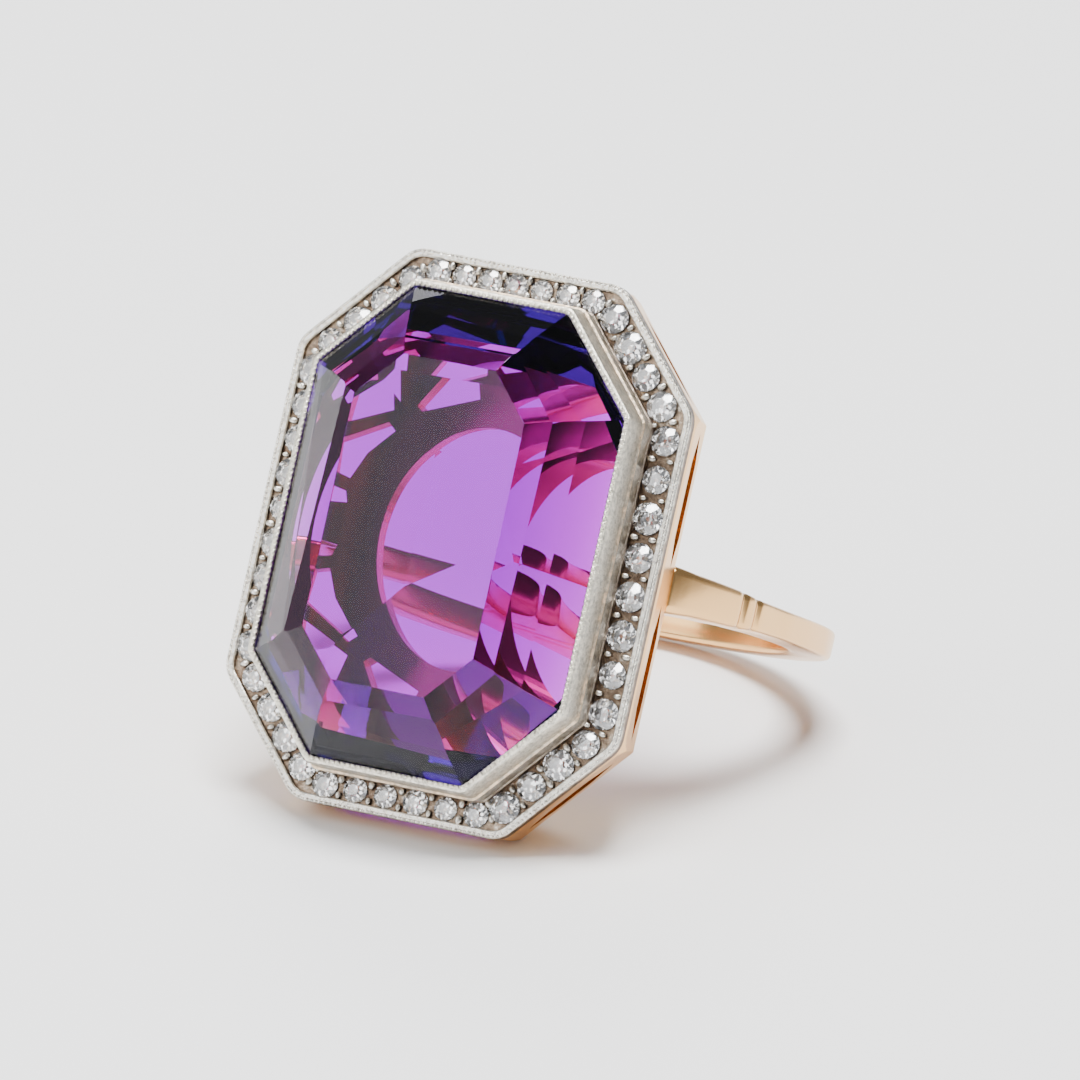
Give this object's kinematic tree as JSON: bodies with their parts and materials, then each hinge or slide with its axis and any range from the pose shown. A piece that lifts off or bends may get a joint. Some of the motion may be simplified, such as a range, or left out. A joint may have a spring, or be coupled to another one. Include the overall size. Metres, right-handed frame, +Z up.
{
  "type": "cocktail ring",
  "caption": "Octagonal cluster ring: large step-cut purple stone in a stepped collar, row of small diamonds, pierced gold head and plain gold shank.",
  "frame": {"origin": "centre of the finger hole", "axes": "+X runs across the finger hole from one shoulder to the other, +Z is up with the ring leaning at rest on the lower edge of its head and the back of its shank, and the stone faces -Y tilted upwards"},
  "size_m": [0.0206, 0.0288, 0.0207],
  "materials": {
    "yellow_gold": "polished yellow gold, softly worn",
    "white_metal": "silver-white metal, finely brushed, warm grey in the recesses",
    "amethyst": "polished, clear purple",
    "diamond": "polished, colourless"
  },
  "bodies": {
    "root": {"shank": "yellow_gold", "under_gallery": "yellow_gold", "side_wall": "yellow_gold", "backing_plate": "yellow_gold", "halo_plate": "white_metal", "collar": "white_metal", "stone_seat": "yellow_gold", "amethyst": "amethyst", "diamond_01": "diamond", "diamond_02": "diamond", "diamond_03": "diamond", "diamond_04": "diamond", "diamond_05": "diamond", "diamond_06": "diamond", "diamond_07": "diamond", "diamond_08": "diamond", "diamond_09": "diamond", "diamond_10": "diamond", "diamond_11": "diamond", "diamond_12": "diamond", "diamond_13": "diamond", "diamond_14": "diamond", "diamond_15": "diamond", "diamond_16": "diamond", "diamond_17": "diamond", "diamond_18": "diamond", "diamond_19": "diamond", "diamond_20": "diamond", "diamond_21": "diamond", "diamond_22": "diamond", "diamond_23": "diamond", "diamond_24": "diamond", "diamond_25": "diamond", "diamond_26": "diamond", "diamond_27": "diamond", "diamond_28": "diamond", "diamond_29": "diamond", "diamond_30": "diamond", "diamond_31": "diamond", "diamond_32": "diamond", "diamond_33": "diamond", "diamond_34": "diamond", "diamond_35": "diamond", "diamond_36": "diamond", "diamond_37": "diamond", "diamond_38": "diamond", "diamond_39": "diamond", "diamond_40": "diamond", "diamond_41": "diamond", "diamond_42": "diamond", "diamond_43": "diamond", "diamond_44": "diamond", "diamond_45": "diamond", "diamond_46": "diamond"}
  },
  "joints": []
}
